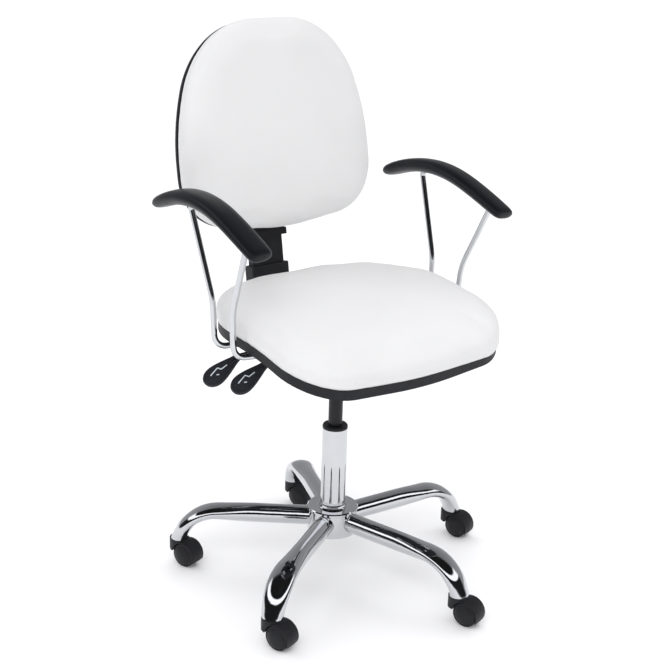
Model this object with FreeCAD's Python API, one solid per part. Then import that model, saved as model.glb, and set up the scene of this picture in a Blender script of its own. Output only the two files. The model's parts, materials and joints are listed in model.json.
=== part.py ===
import FreeCAD, Part
import math
import os
from FreeCAD import Placement, Rotation, Vector

# A clinic swivel chair: five-legged base on twin-wheel castors, gas lift, upholstered seat on a
# two-lever mechanism, rod-framed arms, and an upholstered back on a reclining upright.
# Millimetres, +Z up. The origin is on the floor under the lift column. The sitter faces -Y, and the
# two levers are at the sitter's right hand, at -X.

# ---- driving dimensions: base and castors
LEG_COUNT = 5
STEM_CIRCLE = 310.0            # radius of the circle through the castor stems
FIRST_LEG_ANGLE = 139.3        # degrees from +X
CASTOR_TURN = 16.6             # degrees that every castor is swivelled at rest
CASTOR_TRAIL = 20.5            # wheel axle behind the stem axis
WHEEL_RADIUS = 25.0
WHEEL_INNER = 4.6              # from the castor's middle plane to a wheel's inner face
WHEEL_OUTER = 22.0             # from the middle plane to a wheel's domed face
AXLE_RADIUS = 4.0
HOOD_HALF_WIDTH = 17.5         # castor hood, along the axle
HOOD_TOP = 55.4
HOOD_FRONT_HEIGHT = 29.0       # lower edge of the hood in front of the stem
HOOD_REAR_REACH = 23.5         # degrees below the axle that the hood reaches behind the wheels
STEM_RADIUS = 5.0
RUNNING_GAP = 0.05             # radial clearance of every turning or sliding fit
LEG_AXIS_HEIGHT = 117.5
LEG_TIP_HEIGHT = 56.0
LEG_BEND_RADIUS = 80.0
LEG_BEND_ANGLE = 75.0
LEG_WALL = 2.0
HUB_RADIUS = 49.0
HUB_BOTTOM = 84.0
HUB_TOP = 137.0

# ---- driving dimensions: gas lift
COLUMN_RADIUS = 25.0
COLUMN_BOTTOM = 78.0
COLUMN_TAPER_TOP = 100.0
COLUMN_TOP = 311.0
COLUMN_WALL = 2.0
COLUMN_FLOOR = 3.0
LIFT_RADIUS = 14.0
LIFT_BOTTOM = 238.0
LIFT_TOP = 512.0
LIFT_TAPER_BOTTOM = 470.0
LIFT_WALL = 2.0
ROD_RADIUS = 5.0
PIN_RADIUS = 4.0

# ---- driving dimensions: seat
SEAT_EDGE = 533.0              # underside of the pan at the sides and back
SEAT_FRONT = -255.0
SEAT_REAR = 171.0
SEAT_HALF_WIDTH = 247.0
SEAT_FRONT_CORNER = 105.0
SEAT_REAR_CORNER = 180.0
FRONT_ROLL_START = 15.0        # the seat turns down in front of this line
FRONT_ROLL_RADIUS = 680.0
PAN_DEPTH = 18.0
PAN_WALL = 3.5
BOARD_THICKNESS = 12.0
CUSHION_TOP = 63.0             # above the pan's underside
CUSHION_OVERHANG = 7.0

# ---- driving dimensions: mechanism and levers
HOUSING_HALF_WIDTH = 75.0
HOUSING_FRONT = -85.0
HOUSING_REAR = 125.0
HOUSING_BOTTOM = 466.0
FLANGE_TOP = 527.0
SHEET = 3.0
PIVOT_Y = 95.0
PIVOT_Z = 497.0
PIVOT_RADIUS = 6.0
LEVER_Y = 30.0                 # half the distance between the two levers
LEVER_Z = 494.0
LEVER_PIVOT_X = -64.0
LEVER_PIN_RADIUS = 3.0
LEVER_ROD_RADIUS = 4.0
PADDLE_LENGTH = 86.0
PADDLE_HALF_WIDTH = 18.5
PADDLE_THICKNESS = 11.0
PADDLE_DROOP = 28.0
PADDLE_ROLL = 33.0

# ---- driving dimensions: arms
ARM_ROD_RADIUS = 5.7
ARM_PAD_WIDTH = 50.0
ARM_PAD_THICKNESS = 26.0
ARM_PAD_X = 281.0              # pad's middle line, at its mid-length
ARM_PAD_TIP = 4.5              # degrees that the pad tips outwards

# ---- driving dimensions: back
BACK_LEAN = 9.5                # degrees that the upright and backrest lean back
BACK_ORIGIN = Vector(0.0, 238.0, 580.0)
BAR_HALF_WIDTH = 25.0
BAR_THICKNESS = 8.0
BAR_TOP = 278.0
BACK_CENTRE = 311.0            # backrest centre, measured up the upright
BACK_RIM = 54.0                # backrest rim plane, in front of the bar's middle plane
BACK_DEPTH = 46.0
CUSHION_SHOULDER = 20.0
SHELL_RIM = 8.0
SHELL_DEPTH = 32.0
SHELL_BACK = BACK_RIM - SHELL_DEPTH
SHELL_WALL = 3.0
BACK_BOARD_INSET = 32.0        # keeps the board inside the shell's dish

UP = Vector(0.0, 0.0, 1.0)
FAR = 400.0                    # longer than any piece that a cutting solid has to pass through


# ---- shared shape helpers
def cylinder(radius, length, base, direction=UP):
    return Part.makeCylinder(radius, length, base, direction)


def tube(outer, inner, length, base, direction=UP):
    return cylinder(outer, length, base, direction).cut(cylinder(inner, length, base, direction))


def block(low, high):
    low, high = Vector(*low), Vector(*high)
    size = high - low
    return Part.makeBox(size.x, size.y, size.z, low)


def union(shapes):
    return shapes[0].multiFuse(shapes[1:]).removeSplitter()


def turned(profile):
    """Turn a closed (radius, height) profile about the Z axis."""
    points = [Vector(radius, 0.0, height) for radius, height in profile]
    face = Part.Face(Part.makePolygon(points + points[:1]))
    return face.revolve(Vector(), UP, 360.0)


def rounded_path(points, radii, closed=False):
    """Join straight runs with tangent arcs: one radius for each corner, 0 for a sharp one."""
    count = len(points)
    starts, ends, middles = [], [], []
    for index, point in enumerate(points):
        radius = radii[index]
        if radius == 0.0:
            starts.append(point)
            ends.append(point)
            middles.append(None)
            continue
        before = (points[index - 1] - point).normalize()
        after = (points[(index + 1) % count] - point).normalize()
        half = before.getAngle(after) / 2.0
        bisector = (before + after).normalize()
        starts.append(point + before * (radius / math.tan(half)))
        ends.append(point + after * (radius / math.tan(half)))
        middles.append(point + bisector * (radius / math.sin(half) - radius))
    edges = []
    for index in range(count):
        if middles[index] is not None:
            edges.append(Part.Arc(starts[index], middles[index], ends[index]).toShape())
        if index < count - 1 or closed:
            following = starts[(index + 1) % count]
            if ends[index].distanceToPoint(following) > 1e-6:
                edges.append(Part.LineSegment(ends[index], following).toShape())
    return Part.Wire(edges)


def rod(points, bend_radii, radius):
    """A round rod along straight runs and tangent bends."""
    path = rounded_path(points, bend_radii)
    start = points[0]
    circle = Part.Circle(start, points[1] - start, radius)
    return path.makePipeShell([Part.Wire(circle.toShape())], True, False)


def oval_wire(centre, across, upward, half_width, half_height):
    """A closed smooth curve through sixteen points of an ellipse."""
    count = 16
    points = []
    for index in range(count):
        angle = 2.0 * math.pi * index / count
        sideways = across * (half_width * math.cos(angle))
        points.append(centre + sideways + upward * (half_height * math.sin(angle)))
    curve = Part.BSplineCurve()
    curve.interpolate(Points=points, PeriodicFlag=True)
    return Part.Wire(curve.toShape())


def rounded_rectangle(centre, across, upward, half_width, half_height, radius):
    corners = [
        centre + across * (sx * half_width) + upward * (sy * half_height)
        for sx, sy in ((-1, -1), (1, -1), (1, 1), (-1, 1))
    ]
    return rounded_path(corners, [radius] * 4, closed=True)


def mirrored(shape):
    return shape.mirror(Vector(), Vector(1.0, 0.0, 0.0))


# ---- base
def leg_point(distance):
    """Centre and slope in radians at a distance along one leg that points along +X."""
    start = HUB_RADIUS - 6.0
    sweep = math.radians(LEG_BEND_ANGLE)
    bend_start = STEM_CIRCLE - 1.0 - LEG_BEND_RADIUS * math.sin(sweep)
    straight = bend_start - start
    turn = min(max((distance - straight) / LEG_BEND_RADIUS, 0.0), sweep)
    x = start + min(distance, straight) + LEG_BEND_RADIUS * math.sin(turn)
    z = LEG_AXIS_HEIGHT - LEG_BEND_RADIUS * (1.0 - math.cos(turn))
    tail = max(distance - straight - LEG_BEND_RADIUS * sweep, 0.0)
    return Vector(x + tail * math.cos(turn), 0.0, z - tail * math.sin(turn)), turn


def leg_loft(shrink):
    """Oval sections that widen and flatten through the bend."""
    length, steps = 310.0, 16
    swell_start, swell_length = 110.0, 240.0
    sections = []
    for step in range(steps + 1):
        distance = length * step / steps
        centre, slope = leg_point(distance)
        place = min(max((distance - swell_start) / swell_length, 0.0), 1.0)
        swell = math.sin(math.pi * place) ** 2
        taper = 1.6 * (distance / length) ** 4
        half_width = 19.8 + 6.2 * swell - taper - shrink
        half_height = 19.4 - 5.2 * swell - taper - shrink
        upward = Vector(math.sin(slope), 0.0, math.cos(slope))
        sections.append(oval_wire(
            centre, Vector(0.0, 1.0, 0.0), upward, half_width, half_height
        ))
    return Part.makeLoft(sections, True, False, False, 3)


def leg():
    """One flattened, down-bent tube with the castor socket welded into its tip."""
    tip = LEG_TIP_HEIGHT
    skin = leg_loft(0.0).common(block((HUB_RADIUS - 6.0, -60.0, tip), (FAR, 60.0, 160.0)))
    end_plate = skin.common(block((200.0, -60.0, tip), (FAR, 60.0, tip + 3.0)))
    socket = cylinder(9.5, 28.0, Vector(STEM_CIRCLE, 0.0, tip)).common(skin)
    shell = skin.cut(leg_loft(LEG_WALL)).cut(cylinder(HUB_RADIUS, FAR, Vector()))
    bore = cylinder(STEM_RADIUS + 0.5, 24.0, Vector(STEM_CIRCLE, 0.0, tip))
    return shell.fuse([end_plate, socket]).cut(bore)


def leg_angles():
    return [FIRST_LEG_ANGLE + 360.0 / LEG_COUNT * index for index in range(LEG_COUNT)]


def turned_about_column(shape, degrees):
    copy = shape.copy()
    copy.rotate(Vector(), UP, degrees)
    return copy


def stem_point(degrees):
    angle = math.radians(degrees)
    return Vector(STEM_CIRCLE * math.cos(angle), STEM_CIRCLE * math.sin(angle), 0.0)


def taper_radius(height):
    """Outside radius of the column where it wedges into the hub."""
    share = (height - COLUMN_BOTTOM) / (COLUMN_TAPER_TOP - COLUMN_BOTTOM)
    return COLUMN_RADIUS - 1.0 + min(share, 1.0)


def hub_shell():
    """A pressed cup, open underneath, with the tapered socket for the column in its middle."""
    wall, socket = 4.0, COLUMN_RADIUS + 5.0
    return turned([
        (taper_radius(HUB_BOTTOM), HUB_BOTTOM), (socket, HUB_BOTTOM), (socket, HUB_TOP - wall),
        (HUB_RADIUS - wall, HUB_TOP - wall), (HUB_RADIUS - wall, HUB_BOTTOM + 6.0),
        (HUB_RADIUS, HUB_BOTTOM + 6.0), (HUB_RADIUS, HUB_TOP), (COLUMN_RADIUS, HUB_TOP),
        (COLUMN_RADIUS, COLUMN_TAPER_TOP),
    ])


def hub_cover():
    """The chromed ring that hides the welds, with a short neck around the column."""
    inner, rim = COLUMN_RADIUS + 0.3, HUB_RADIUS + 2.0
    return turned([
        (inner, HUB_TOP), (rim - 1.0, HUB_TOP), (rim, HUB_TOP + 1.0), (rim, HUB_TOP + 4.5),
        (rim - 2.0, HUB_TOP + 6.5), (inner + 5.0, HUB_TOP + 6.5), (inner + 3.5, HUB_TOP + 8.0),
        (inner + 2.5, HUB_TOP + 12.0), (inner, HUB_TOP + 13.0),
    ])


def column_tube():
    bore = COLUMN_RADIUS - COLUMN_WALL
    hole = ROD_RADIUS + RUNNING_GAP
    return turned([
        (hole, COLUMN_BOTTOM), (taper_radius(COLUMN_BOTTOM), COLUMN_BOTTOM),
        (COLUMN_RADIUS, COLUMN_TAPER_TOP), (COLUMN_RADIUS, COLUMN_TOP), (bore, COLUMN_TOP),
        (bore, COLUMN_BOTTOM + COLUMN_FLOOR), (hole, COLUMN_BOTTOM + COLUMN_FLOOR),
    ])


def column_bush():
    """The plastic guide that the gas cylinder slides in, with its collar on the column's end."""
    bore, outside = LIFT_RADIUS + RUNNING_GAP, COLUMN_RADIUS - COLUMN_WALL
    return turned([
        (bore, COLUMN_TOP - 62.0), (outside, COLUMN_TOP - 62.0), (outside, COLUMN_TOP),
        (COLUMN_RADIUS, COLUMN_TOP), (COLUMN_RADIUS, COLUMN_TOP + 4.5),
        (COLUMN_RADIUS - 1.5, COLUMN_TOP + 7.0), (bore, COLUMN_TOP + 7.0),
    ])


# ---- castors, modelled at the origin with the stem on the Z axis and the trail along -Y
def axle_point(offset=0.0):
    return Vector(offset, -CASTOR_TRAIL, WHEEL_RADIUS)


def castor_barrel():
    """A solid around the axle, slightly fuller in the middle than at its two ends."""
    half, middle, end = HOOD_HALF_WIDTH, WHEEL_RADIUS + 3.6, WHEEL_RADIUS + 2.5
    rim = Part.Arc(Vector(end, 0.0, -half), Vector(middle, 0.0, 0.0), Vector(end, 0.0, half))
    inside = Part.makePolygon([
        Vector(end, 0.0, half), Vector(0.0, 0.0, half), Vector(0.0, 0.0, -half),
        Vector(end, 0.0, -half),
    ])
    face = Part.Face(Part.Wire([rim.toShape()] + inside.Edges))
    barrel = face.revolve(Vector(), UP, 360.0)
    barrel.rotate(Vector(), Vector(0.0, 1.0, 0.0), 90.0)
    barrel.translate(axle_point())
    return barrel


def castor_skirt():
    """The oval front of the hood, which turns on the stem, with its rounded upper edge."""
    ellipse = Part.Ellipse(Vector(0.0, 0.0, HOOD_FRONT_HEIGHT), 22.0, HOOD_HALF_WIDTH + 0.5)
    outline = Part.Face(Part.Wire(ellipse.toShape()))
    prism = outline.extrude(UP * (HOOD_TOP - HOOD_FRONT_HEIGHT))
    top_edges = [edge for edge in prism.Edges if edge.BoundBox.ZMin > HOOD_TOP - 1.0]
    prism = prism.makeFillet(2.5, top_edges)
    prism.rotate(Vector(), UP, 90.0)
    return prism


def castor_fork():
    """One moulding: the hood over the wheels, the web between them and the boss for the stem."""
    along = Vector(1.0, 0.0, 0.0)
    half_web, half_size = WHEEL_INNER - 0.7, 60.0
    wheel_space = [
        cylinder(WHEEL_RADIUS + 0.9, half_size, axle_point(side), along)
        for side in (half_web, -half_web - half_size)
    ]
    below_rear = block((-half_size, -half_size, -half_size), (half_size, 0.0, 0.0))
    below_rear.rotate(Vector(), along, HOOD_REAR_REACH)
    front_edge = HOOD_FRONT_HEIGHT - WHEEL_RADIUS
    below_front = block((-half_size, -1.0, -half_size), (half_size, half_size, front_edge))
    for cutter in (below_rear, below_front):
        cutter.translate(axle_point())
    hood = castor_barrel().fuse(castor_skirt()).cut(wheel_space + [below_rear, below_front])
    disc = cylinder(15.0, 2.0 * half_web, axle_point(-half_web), along)
    solid = union([hood, disc])
    stem_hole = cylinder(STEM_RADIUS + RUNNING_GAP, half_size, Vector(0.0, 0.0, 42.5))
    axle_hole = cylinder(AXLE_RADIUS, 2.0 * half_size, axle_point(-half_size), along)
    return solid.cut([stem_hole, axle_hole])


def castor_axle():
    return cylinder(AXLE_RADIUS, 34.0, axle_point(-17.0), Vector(1.0, 0.0, 0.0))


def castor_wheel(side):
    """A domed twin wheel half; side is 1 or -1 along the axle."""
    radius, bore = WHEEL_RADIUS, AXLE_RADIUS + RUNNING_GAP
    bore_end = 17.8
    wheel = turned([
        (bore, WHEEL_INNER), (radius - 1.5, WHEEL_INNER), (radius, WHEEL_INNER + 1.5),
        (radius, 14.5), (radius - 0.8, 17.0), (radius - 3.0, 18.8), (15.0, 20.6),
        (8.0, 21.7), (0.0, WHEEL_OUTER), (0.0, bore_end), (bore, bore_end),
    ])
    wheel.rotate(Vector(), Vector(0.0, 1.0, 0.0), 90.0 * side)
    wheel.translate(axle_point())
    return wheel


def placed_castor(shape, degrees):
    copy = shape.copy()
    copy.rotate(Vector(), UP, CASTOR_TURN)
    copy.translate(stem_point(degrees))
    return copy


def castor_stems():
    """Five stems, each held in a leg's socket, with its thinner foot in the castor's boss."""
    stems = []
    for degrees in leg_angles():
        base = stem_point(degrees)
        foot = cylinder(STEM_RADIUS, 14.0, base + UP * 43.0)
        shank = cylinder(STEM_RADIUS + 0.5, 22.0, base + UP * (LEG_TIP_HEIGHT + 0.5))
        stems.append(union([foot, shank]))
    return Part.makeCompound(stems)


# ---- gas lift
def piston_rod():
    """The rod stands on the column's floor; the gas cylinder rides up and down on its piston."""
    shoulder, piston = 91.0, 262.0
    return turned([
        (0.0, 73.0), (ROD_RADIUS, 73.0), (ROD_RADIUS, shoulder), (9.0, shoulder),
        (9.0, shoulder + 4.0), (ROD_RADIUS, shoulder + 4.0), (ROD_RADIUS, piston),
        (LIFT_RADIUS - LIFT_WALL - RUNNING_GAP, piston),
        (LIFT_RADIUS - LIFT_WALL - RUNNING_GAP, piston + 10.0), (0.0, piston + 10.0),
    ])


def thrust_bearing():
    floor = COLUMN_BOTTOM + COLUMN_FLOOR
    return tube(14.0, ROD_RADIUS + RUNNING_GAP, 9.5, Vector(0.0, 0.0, floor))


def retaining_clip():
    return tube(9.0, ROD_RADIUS, 2.0, Vector(0.0, 0.0, 74.5))


def gas_cylinder():
    bore, hole = LIFT_RADIUS - LIFT_WALL, ROD_RADIUS + RUNNING_GAP
    pin_hole, tip = PIN_RADIUS + RUNNING_GAP, LIFT_RADIUS - 0.7
    return turned([
        (hole, LIFT_BOTTOM), (LIFT_RADIUS, LIFT_BOTTOM), (LIFT_RADIUS, LIFT_TAPER_BOTTOM),
        (tip, LIFT_TOP), (pin_hole, LIFT_TOP), (pin_hole, LIFT_TOP - 18.0),
        (0.0, LIFT_TOP - 18.0), (0.0, LIFT_TOP - 24.0), (bore, LIFT_TOP - 24.0),
        (bore, LIFT_BOTTOM + 10.0), (hole, LIFT_BOTTOM + 10.0),
    ])


def valve_pin():
    return cylinder(PIN_RADIUS, 21.0, Vector(0.0, 0.0, LIFT_TOP - 12.0))


# ---- seat
def seat_prism(grow):
    """The seat's plan outline, grown or shrunk, as a tall prism."""
    front_dip = 20.0
    corners = [
        Vector(0.0, SEAT_FRONT, 0.0),
        Vector(SEAT_HALF_WIDTH + 2.0, SEAT_FRONT + front_dip, 0.0),
        Vector(SEAT_HALF_WIDTH - 3.0, SEAT_REAR, 0.0),
        Vector(3.0 - SEAT_HALF_WIDTH, SEAT_REAR, 0.0),
        Vector(-SEAT_HALF_WIDTH - 2.0, SEAT_FRONT + front_dip, 0.0),
    ]
    radii = [900.0, SEAT_FRONT_CORNER, SEAT_REAR_CORNER, SEAT_REAR_CORNER, SEAT_FRONT_CORNER]
    wire = rounded_path(corners, radii, closed=True)
    if grow:
        wire = wire.makeOffset2D(grow)
    prism = Part.Face(wire).extrude(UP * FAR)
    prism.translate(UP * (SEAT_EDGE - FAR / 2.0))
    return prism


def seat_slab(low, high):
    """The space between two copies of the seat's side profile, raised by low and by high."""
    side, rear, front = -FAR, 220.0, -300.0
    sweep = math.asin((FRONT_ROLL_START - front) / FRONT_ROLL_RADIUS)

    def rolled(share, rise):
        angle = sweep * share
        drop = FRONT_ROLL_RADIUS * (1.0 - math.cos(angle))
        y = FRONT_ROLL_START - FRONT_ROLL_RADIUS * math.sin(angle)
        return Vector(side, y, SEAT_EDGE + rise - drop)

    lower, upper = (
        [
            Part.LineSegment(Vector(side, rear, SEAT_EDGE + rise), rolled(0.0, rise)).toShape(),
            Part.Arc(rolled(0.0, rise), rolled(0.5, rise), rolled(1.0, rise)).toShape(),
        ]
        for rise in (low, high)
    )
    ends = [
        Part.LineSegment(rolled(1.0, low), rolled(1.0, high)).toShape(),
        Part.LineSegment(
            Vector(side, rear, SEAT_EDGE + low), Vector(side, rear, SEAT_EDGE + high)
        ).toShape(),
    ]
    edges = Part.__sortEdges__(lower + upper + ends)
    return Part.Face(Part.Wire(edges)).extrude(Vector(2.0 * FAR, 0.0, 0.0))


def mechanism_bolt_points():
    return [Vector(sx * 88.0, y, FLANGE_TOP) for sx in (-1, 1) for y in (-60.0, 95.0)]


def arm_bolt_points():
    return [Vector(sx * 197.0, y, FLANGE_TOP + 1.0) for sx in (-1, 1) for y in (-40.0, 2.0)]


def bolt_shanks(points):
    return [cylinder(4.0, 60.0, point - UP * 30.0) for point in points]


def seat_pan():
    """The dished plastic pan that edges the cushion and closes the seat from below."""
    outside = seat_prism(0.0).common(seat_slab(0.0, PAN_DEPTH))
    inside = seat_prism(-PAN_WALL).common(seat_slab(PAN_WALL, PAN_DEPTH + 10.0))
    window = block((-45.0, -40.0, 0.0), (45.0, 55.0, 2.0 * FAR))
    holes = bolt_shanks(mechanism_bolt_points() + arm_bolt_points())
    return outside.cut(inside).cut([window] + holes)


def seat_board():
    plate = seat_prism(-12.0).common(seat_slab(PAN_WALL, PAN_WALL + BOARD_THICKNESS))
    return plate.cut(bolt_shanks(mechanism_bolt_points() + arm_bolt_points()))


def seat_cushion():
    """Plain upholstery: a body over the pan's rim and a plug that fills the pan above the board."""
    board_top = PAN_WALL + BOARD_THICKNESS + 0.1
    plug = seat_prism(-PAN_WALL - 0.3).common(seat_slab(board_top, PAN_DEPTH + 12.0))
    body = seat_prism(CUSHION_OVERHANG).common(seat_slab(PAN_DEPTH + 0.1, CUSHION_TOP))
    crown = seat_prism(-40.0).common(seat_slab(CUSHION_TOP - 5.0, CUSHION_TOP + 4.0))
    shoulder = 24.0
    top_edges = [
        edge for edge in body.Edges
        if edge.BoundBox.ZMax - edge.BoundBox.ZMin < 80.0
        and edge.CenterOfMass.z > profile_height(edge.CenterOfMass.y) + CUSHION_TOP - 8.0
    ]
    body = body.makeFillet(shoulder, top_edges)
    return union([body, plug, crown])


def profile_height(y):
    """Height of the pan's underside at y."""
    if y >= FRONT_ROLL_START:
        return SEAT_EDGE
    reach = min(FRONT_ROLL_START - y, 315.0)
    return SEAT_EDGE - FRONT_ROLL_RADIUS + math.sqrt(FRONT_ROLL_RADIUS ** 2 - reach ** 2)


# ---- mechanism
def mechanism_housing():
    """The pressed channel under the seat, with the socket for the gas cylinder's taper."""
    half, inner = HOUSING_HALF_WIDTH, HOUSING_HALF_WIDTH - SHEET
    walls = [
        block((sx * half if sx < 0 else inner, HOUSING_FRONT, HOUSING_BOTTOM),
              (-inner if sx < 0 else half, HOUSING_REAR, FLANGE_TOP))
        for sx in (-1, 1)
    ]
    front = block((-half, HOUSING_FRONT, HOUSING_BOTTOM), (half, HOUSING_FRONT + SHEET, FLANGE_TOP))
    floor = block((-half, HOUSING_FRONT, HOUSING_BOTTOM), (half, 60.0, HOUSING_BOTTOM + SHEET))
    flanges = [
        block((sx * 104.0 if sx < 0 else inner, HOUSING_FRONT, FLANGE_TOP - SHEET),
              (-inner if sx < 0 else 104.0, HOUSING_REAR, FLANGE_TOP))
        for sx in (-1, 1)
    ]
    spacers = [cylinder(10.0, 20.0, point - UP * SHEET) for point in mechanism_bolt_points()]
    tie = block((-half, 40.0, HOUSING_BOTTOM), (half, 43.0, 488.0))
    socket = cylinder(22.0, LIFT_TOP - 1.0 - HOUSING_BOTTOM, Vector(0.0, 0.0, HOUSING_BOTTOM))
    solid = union(walls + [front, floor, tie, socket] + flanges + spacers + lever_pivots())
    slots = [
        cylinder(LEVER_ROD_RADIUS + 1.8, 8.0, Vector(-half - 2.0, y, LEVER_Z), Vector(1, 0, 0))
        for y in (-LEVER_Y, LEVER_Y)
    ]
    pivot = cylinder(PIVOT_RADIUS, FAR, Vector(-FAR / 2.0, PIVOT_Y, PIVOT_Z), Vector(1, 0, 0))
    lift = turned([
        (0.0, HOUSING_BOTTOM - 1.0), (LIFT_RADIUS, HOUSING_BOTTOM - 1.0),
        (LIFT_RADIUS, LIFT_TAPER_BOTTOM), (LIFT_RADIUS - 0.7, LIFT_TOP), (0.0, LIFT_TOP),
    ])
    above = seat_slab(0.0, 60.0)
    return solid.cut(slots + [pivot, lift, above] + bolt_shanks(mechanism_bolt_points()))


def lever_pivots():
    """For each lever, two lugs inside the channel's wall and the pin that joins them."""
    pieces = []
    for y in (-LEVER_Y, LEVER_Y):
        for sy in (-1, 1):
            low = y + min(sy * 8.0, sy * 11.0)
            pieces.append(block(
                (-HOUSING_HALF_WIDTH + 1.0, low, LEVER_Z - 7.0),
                (LEVER_PIVOT_X + 6.0, low + 3.0, LEVER_Z + 7.0)
            ))
        start = Vector(LEVER_PIVOT_X, y - 10.5, LEVER_Z)
        pieces.append(cylinder(LEVER_PIN_RADIUS, 21.0, start, Vector(0.0, 1.0, 0.0)))
    return pieces


def hex_head(radius, height, base):
    corners = [
        base + Vector(radius * math.cos(math.radians(a)), radius * math.sin(math.radians(a)), 0.0)
        for a in range(0, 360, 60)
    ]
    return Part.Face(Part.makePolygon(corners + corners[:1])).extrude(UP * height)


def bolts(points, plate_bottom, tip_above):
    """Hexagon-head bolts that come up through a plate into the seat board."""
    made = []
    for point in points:
        top = profile_height(point.y) + tip_above
        base = Vector(point.x, point.y, plate_bottom)
        shank = cylinder(4.0, top - plate_bottom, base)
        made.append(union([hex_head(7.5, 5.3, base - UP * 5.3), shank]))
    return Part.makeCompound(made)


def seat_bolts():
    return bolts(mechanism_bolt_points(), FLANGE_TOP - SHEET, PAN_WALL + 11.0)


def arm_bolts():
    return bolts(arm_bolt_points(), FLANGE_TOP - 3.0, PAN_WALL + 11.0)


def back_pivot_pin():
    half = HOUSING_HALF_WIDTH + 3.0
    along = Vector(1.0, 0.0, 0.0)
    pin = cylinder(PIVOT_RADIUS, 2.0 * half, Vector(-half, PIVOT_Y, PIVOT_Z), along)
    head = cylinder(9.0, 3.0, Vector(-half, PIVOT_Y, PIVOT_Z), along)
    return union([pin, head.cut(block((-HOUSING_HALF_WIDTH, 0.0, 0.0), (0.0, FAR, 2 * FAR)))])


def return_springs():
    """Two coils around the pivot pin, one on each side of the upright's barrel."""
    turns, pitch, coil, wire = 8, 4.2, 10.0, 1.5
    coils = []
    for start in (-66.0, 66.0 - turns * pitch):
        helix = Part.makeHelix(pitch, turns * pitch, coil)
        section = Part.Circle(Vector(coil, 0.0, 0.0), Vector(0.0, 1.0, 0.0), wire)
        spring = Part.Wire(helix.Edges).makePipeShell([Part.Wire(section.toShape())], True, True)
        spring.rotate(Vector(), Vector(0.0, 1.0, 0.0), 90.0)
        spring.translate(Vector(start, PIVOT_Y, PIVOT_Z))
        coils.append(spring)
    return Part.makeCompound(coils)


# ---- levers
def lever_root(stem_x, y):
    return Vector(stem_x, y, LEVER_Z)


def paddle_direction():
    droop = math.radians(PADDLE_DROOP)
    return Vector(-math.cos(droop), 0.0, -math.sin(droop))


def lever_rod(stem_x, y, inner_points, inner_bends):
    """Round rod from the paddle in through the housing's wall, with the barrel it pivots on."""
    root = lever_root(stem_x, y)
    end = root + paddle_direction() * 30.0
    bent = rod([end, root] + inner_points, [0.0, 12.0] + inner_bends, LEVER_ROD_RADIUS)
    along, start = Vector(0.0, 1.0, 0.0), Vector(LEVER_PIVOT_X, y - 7.5, LEVER_Z)
    barrel = cylinder(6.8, 15.0, start, along)
    bore = cylinder(LEVER_PIN_RADIUS + RUNNING_GAP, 15.0, start, along)
    return union([bent, barrel]).cut(bore)


def height_lever_rod():
    """The inner end rises to a tongue that lies over the valve pin."""
    tongue_z = LIFT_TOP + 9.0 + 0.3 + 2.5
    inner = [Vector(-52.0, -LEVER_Y, LEVER_Z), Vector(-38.0, -20.0, tongue_z - 1.0)]
    bent = lever_rod(-187.0, -LEVER_Y, inner, [12.0, 0.0])
    tongue = block((-44.0, -7.0, tongue_z - 2.5), (7.0, 7.0, tongue_z + 2.5))
    foot = block((-44.0, -25.0, tongue_z - 2.5), (-30.0, 7.0, tongue_z + 2.5))
    return union([bent, tongue, foot])


def tilt_lever_rod():
    """The inner end is a flat finger that frees the upright's clamp."""
    inner = [Vector(-40.0, LEVER_Y, LEVER_Z)]
    finger = block((-46.0, LEVER_Y - 2.5, LEVER_Z - 9.0), (-34.0, LEVER_Y + 2.5, LEVER_Z + 6.0))
    return union([lever_rod(-207.0, LEVER_Y, inner, [0.0]), finger])


def lever_paddle(stem_x, y, rod_shape):
    """A flat teardrop, thicker in the middle, rolled so that its face looks forward and up."""
    along = paddle_direction()
    roll = math.radians(PADDLE_ROLL)
    level = Vector(0.0, -1.0, 0.0)
    normal = level.cross(along).normalize()
    across = level * math.cos(roll) + normal * math.sin(roll)
    face_normal = along.cross(across).normalize()
    start = lever_root(stem_x, y) + along * 2.0
    stations = (
        (0.0, 0.26, 0.85), (0.12, 0.34, 0.95), (0.35, 0.66, 1.0), (0.58, 0.95, 1.0),
        (0.76, 1.0, 0.95), (0.90, 0.78, 0.8), (0.975, 0.42, 0.55), (1.0, 0.12, 0.3),
    )
    sections = [
        oval_wire(
            start + along * (share * PADDLE_LENGTH), across, face_normal,
            PADDLE_HALF_WIDTH * wide, PADDLE_THICKNESS / 2.0 * thick
        )
        for share, wide, thick in stations
    ]
    return Part.makeLoft(sections, True, False).cut(rod_shape)


# ---- arms, modelled on the +X side
def arm_rod_points():
    """One bent rod: rear foot, rear upright, across under the pad, front upright, front foot."""
    return [
        (Vector(168.0, 14.0, 519.5), 0.0), (Vector(264.0, 29.0, 521.5), 24.0),
        (Vector(267.0, 32.0, 612.0), 120.0), (Vector(278.0, 88.0, 781.0), 12.0),
        (Vector(281.0, 10.0, 786.0), 60.0), (Vector(288.5, -105.0, 746.0), 12.0),
        (Vector(275.5, -44.0, 608.0), 120.0), (Vector(270.5, -41.0, 521.5), 24.0),
        (Vector(168.0, -60.0, 519.5), 0.0),
    ]


def arm_frame():
    """The chromed rod with the plate that its two feet are welded to."""
    points, radii = zip(*arm_rod_points())
    loop = rod(list(points), list(radii), ARM_ROD_RADIUS)
    top = FLANGE_TOP + 1.0
    plate = block((170.0, -72.0, top - 4.0), (224.0, 28.0, top))
    right_side = [point for point in arm_bolt_points() if point.x > 0]
    spacers = [cylinder(9.0, 20.0, point - UP * 4.0) for point in right_side]
    foot = union([plate] + spacers).cut(seat_slab(0.0, 60.0))
    return union([loop, foot]).cut(bolt_shanks(right_side))


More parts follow.
